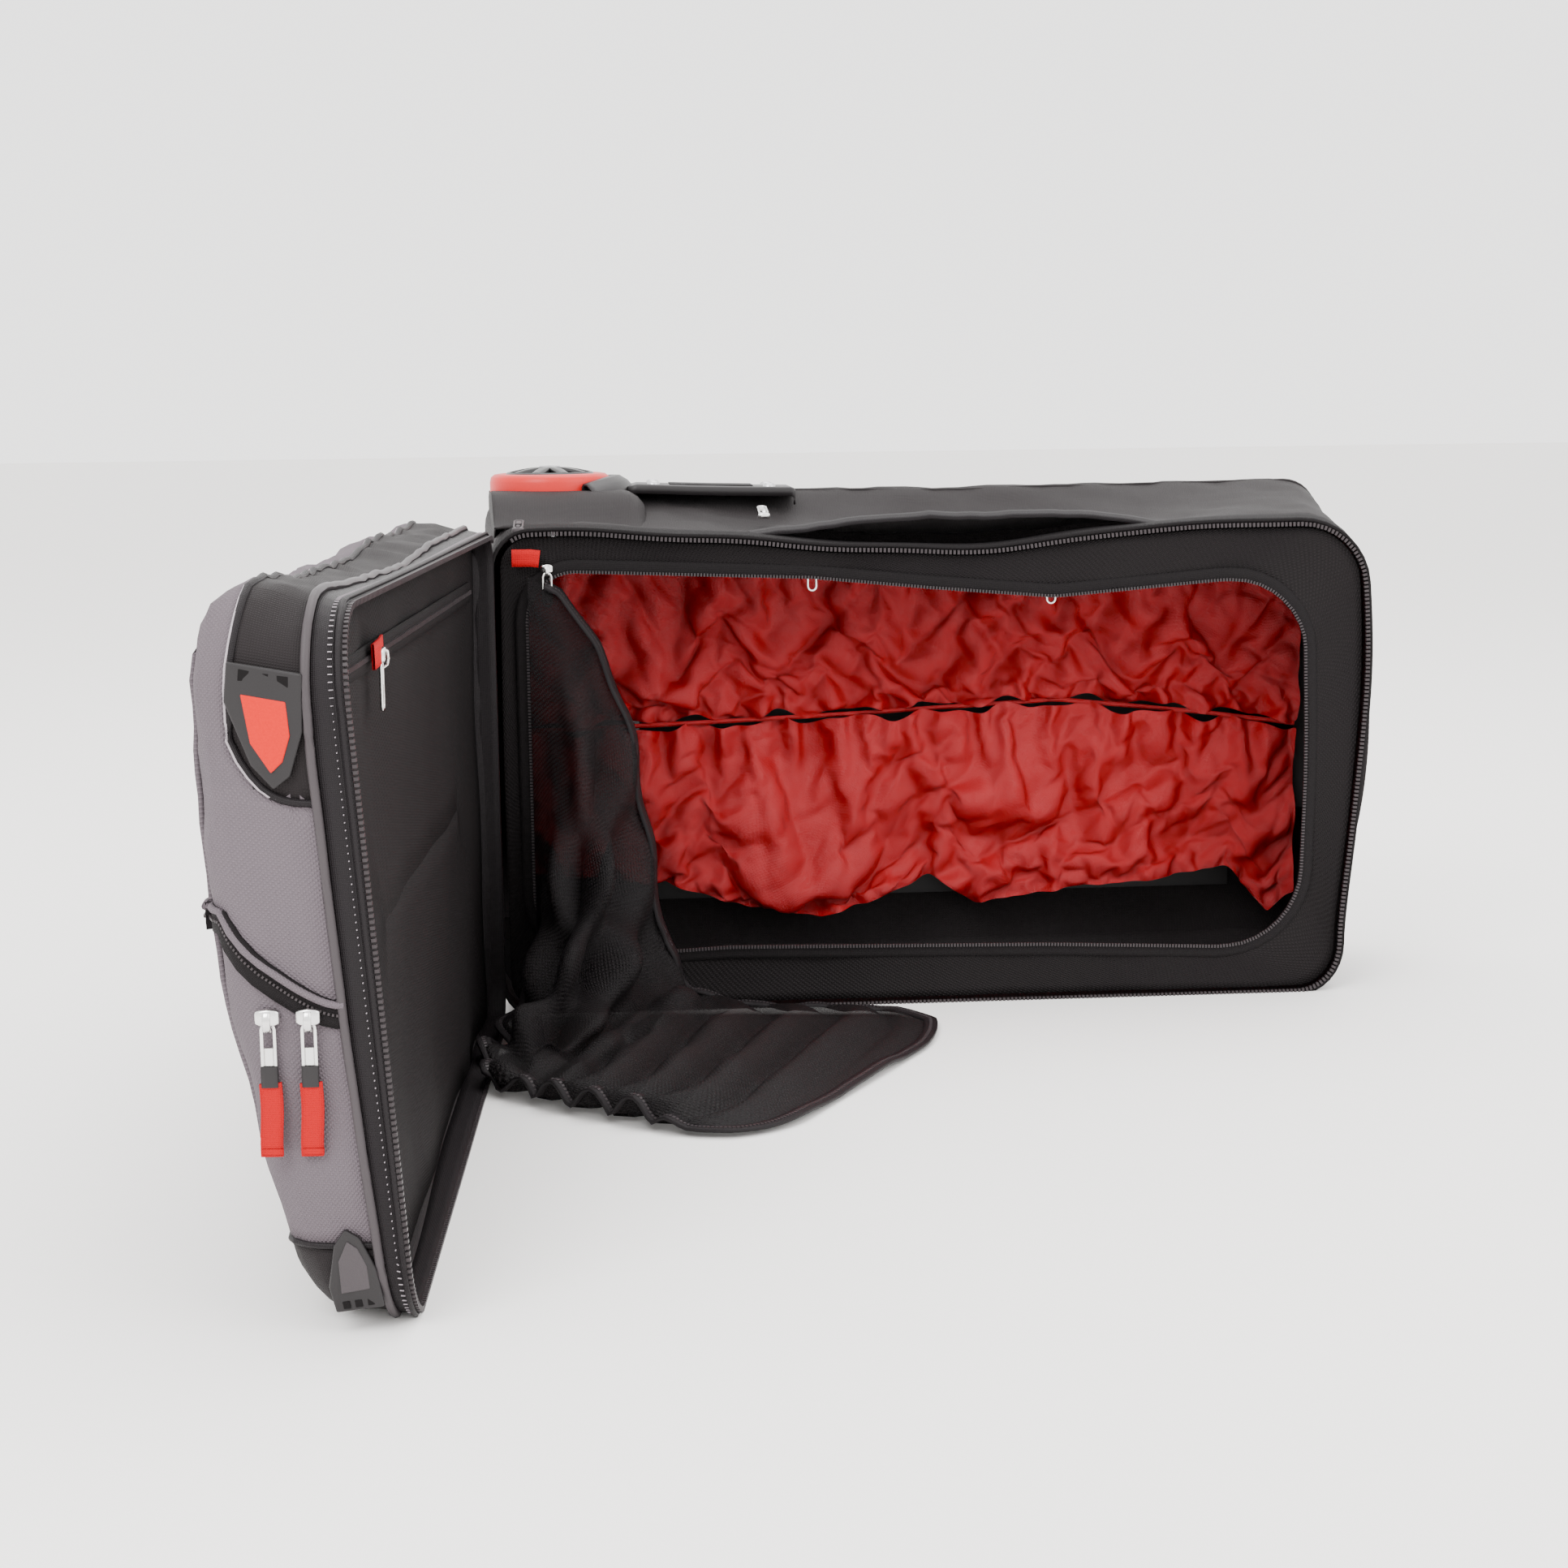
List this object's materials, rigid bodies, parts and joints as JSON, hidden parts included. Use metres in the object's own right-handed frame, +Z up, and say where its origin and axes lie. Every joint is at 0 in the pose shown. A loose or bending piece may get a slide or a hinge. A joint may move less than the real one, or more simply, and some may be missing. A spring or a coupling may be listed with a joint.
{
  "type": "wheeled gear bag",
  "caption": "Wheeled clamshell sports bag lying on its side with the lid swung open, mesh divider door dropped to the floor, crinkled liner, zip pockets and a tow handle.",
  "frame": {"origin": "on the floor face of the lower side panel, midway along the bag and 70 mm behind the rim of the opening", "axes": "+Z up from the floor across the bag's width, +X along the length towards the head end with the handles, -Y out of the main opening"},
  "size_m": [0.8819, 0.9159, 0.452],
  "materials": {
    "black_nylon": "woven nylon, soft sheen",
    "grey_weave": "coarse two-tone weave",
    "zip_tape": "woven tape",
    "mesh_cloth": "fine knitted mesh",
    "red_taffeta": "shiny crinkled taffeta",
    "black_plastic": "moulded, fine texture",
    "red_tyre": "smooth polyurethane",
    "hub_plastic": "moulded spokes",
    "steel": "zinc plated",
    "aluminium": "anodised tube",
    "red_webbing": "ribbed webbing",
    "nickel": "bright nickel plate"
  },
  "bodies": {
    "case": {"axle_lower": "steel", "axle_upper": "steel", "back_board": "black_plastic", "back_panel": "black_nylon", "divider_binding": "zip_tape", "divider_frame": "mesh_cloth", "door_tab": "red_webbing", "foot_panel": "black_nylon", "handle_bezel": "black_plastic", "handle_tubes": "aluminium", "head_handle": "black_nylon", "head_panel": "black_nylon", "hinge_strip": "zip_tape", "liner_lower": "red_taffeta", "liner_upper": "red_taffeta", "main_zip_tape": "zip_tape", "mesh_door": "mesh_cloth", "side_panel_lower": "black_nylon", "side_panel_upper": "black_nylon", "side_pocket_pouch": "black_nylon", "side_pocket_tab": "red_webbing", "wheel_housing_lower": "black_plastic", "wheel_housing_upper": "black_plastic", "window_ring_a": "nickel", "window_ring_b": "nickel"},
    "lid": {"lid_bumper_lower": "black_plastic", "lid_bumper_upper": "black_plastic", "lid_end_panel": "grey_weave", "lid_foot_panel": "grey_weave", "lid_front_panel": "grey_weave", "lid_hinge_tape": "zip_tape", "lid_mesh_panel": "mesh_cloth", "lid_mesh_zip": "zip_tape", "lid_pocket_zip": "zip_tape", "lid_shoulder_lower": "black_nylon", "lid_shoulder_upper": "black_nylon", "lid_zip_tape": "zip_tape"},
    "wheel_upper": {"tyre_upper": "red_tyre", "hub_upper": "hub_plastic"},
    "wheel_lower": {"tyre_lower": "red_tyre", "hub_lower": "hub_plastic"},
    "handle": {"handle_stage": "aluminium", "handle_grip": "black_plastic"},
    "button": {"handle_button": "black_plastic"},
    "outer_slider_a": {"outer_slider_a": "nickel"},
    "outer_pull_a": {"outer_pull_a": "nickel"},
    "outer_slider_b": {"outer_slider_b": "nickel"},
    "outer_pull_b": {"outer_pull_b": "nickel"},
    "door_slider": {"door_slider": "nickel"},
    "door_pull": {"door_pull": "nickel"},
    "mesh_slider": {"mesh_slider": "nickel"},
    "mesh_pull": {"mesh_pull": "nickel"},
    "rim_slider": {"rim_slider": "nickel"},
    "rim_pull": {"rim_pull": "nickel"},
    "main_slider": {"main_slider": "nickel"},
    "main_pull": {"main_pull": "nickel"},
    "side_slider": {"side_slider": "nickel"},
    "side_pull": {"side_pull": "nickel"},
    "window_pull_a": {"window_pull_a": "nickel"},
    "window_pull_b": {"window_pull_b": "nickel"}
  },
  "joints": [
    {"name": "lid_hinge", "type": "hinge", "parent": "case", "child": "lid", "pos_m": [-0.358, -0.07015, 0.2], "axis": [0, 0, 1], "range_deg": [-30, 93], "deforming": ["mesh_door"]},
    {"name": "wheel_spin_upper", "type": "hinge", "parent": "case", "child": "wheel_upper", "pos_m": [-0.313, 0.075, 0.424], "axis": [0, 0, 1], "continuous": true},
    {"name": "wheel_spin_lower", "type": "hinge", "parent": "case", "child": "wheel_lower", "pos_m": [-0.313, 0.075, 0.0226], "axis": [0, 0, 1], "continuous": true},
    {"name": "handle_slide", "type": "slide", "parent": "case", "child": "handle", "axis": [1, 0, 0], "range_m": [0, 0.36]},
    {"name": "handle_button_press", "type": "slide", "parent": "handle", "child": "button", "axis": [-1, 0, 0], "range_m": [0, 0.003], "stiffness_N_per_m": 400},
    {"name": "outer_slider_a_travel", "type": "slide", "parent": "lid", "child": "outer_slider_a", "axis": [-0.9986, 0.0523, 0], "range_m": [-0.01, 0.012]},
    {"name": "outer_pull_a_swing", "type": "hinge", "parent": "outer_slider_a", "child": "outer_pull_a", "pos_m": [-0.45771, -0.78521, 0.17525], "axis": [-0.9986, 0.0523, 0], "range_deg": [0, 100]},
    {"name": "outer_slider_b_travel", "type": "slide", "parent": "lid", "child": "outer_slider_b", "axis": [-0.9986, 0.0523, 0], "range_m": [-0.008, 0.009]},
    {"name": "outer_pull_b_swing", "type": "hinge", "parent": "outer_slider_b", "child": "outer_pull_b", "pos_m": [-0.43574, -0.78636, 0.17525], "axis": [-0.9986, 0.0523, 0], "range_deg": [0, 100]},
    {"name": "door_slider_travel", "type": "slide", "parent": "case", "child": "door_slider", "axis": [1, 0, 0], "range_m": [0, 0.55]},
    {"name": "door_pull_swing", "type": "hinge", "parent": "door_slider", "child": "door_pull", "pos_m": [-0.315, -0.072, 0.36625], "axis": [-1, 0, 0], "range_deg": [0, 100]},
    {"name": "mesh_slider_travel", "type": "slide", "parent": "lid", "child": "mesh_slider", "axis": [0.0523, 0.9986, 0], "range_m": [-0.15, 0.42]},
    {"name": "mesh_pull_swing", "type": "hinge", "parent": "mesh_slider", "child": "mesh_pull", "pos_m": [-0.39833, -0.59426, 0.35125], "axis": [-0.0523, -0.9986, 0], "range_deg": [0, 100]},
    {"name": "rim_slider_travel", "type": "slide", "parent": "lid", "child": "rim_slider", "axis": [0, 0, 1], "range_m": [0, 0.2]},
    {"name": "rim_pull_swing", "type": "hinge", "parent": "rim_slider", "child": "rim_pull", "pos_m": [-0.40117, -0.77636, 0.05625], "axis": [0.9986, -0.0523, 0], "range_deg": [0, 100]},
    {"name": "main_slider_travel", "type": "slide", "parent": "case", "child": "main_slider", "axis": [1, 0, 0], "range_m": [0, 0.6]},
    {"name": "main_pull_swing", "type": "hinge", "parent": "main_slider", "child": "main_pull", "pos_m": [-0.3375, -0.06082, 0.4051], "axis": [1, 0, 0], "range_deg": [0, 100]},
    {"name": "side_slider_travel", "type": "slide", "parent": "case", "child": "side_slider", "axis": [1, 0, 0], "range_m": [0, 0.3]},
    {"name": "side_pull_swing", "type": "hinge", "parent": "side_slider", "child": "side_pull", "pos_m": [-0.134, -0.02082, 0.41204], "axis": [1, 0, 0], "range_deg": [0, 100]},
    {"name": "window_pull_a_swing", "type": "hinge", "parent": "case", "child": "window_pull_a", "pos_m": [-0.097, -0.057, 0.36025], "axis": [-1, 0, 0], "range_deg": [0, 100]},
    {"name": "window_pull_b_swing", "type": "hinge", "parent": "case", "child": "window_pull_b", "pos_m": [0.103, -0.057, 0.34625], "axis": [-1, 0, 0], "range_deg": [0, 100]}
  ]
}
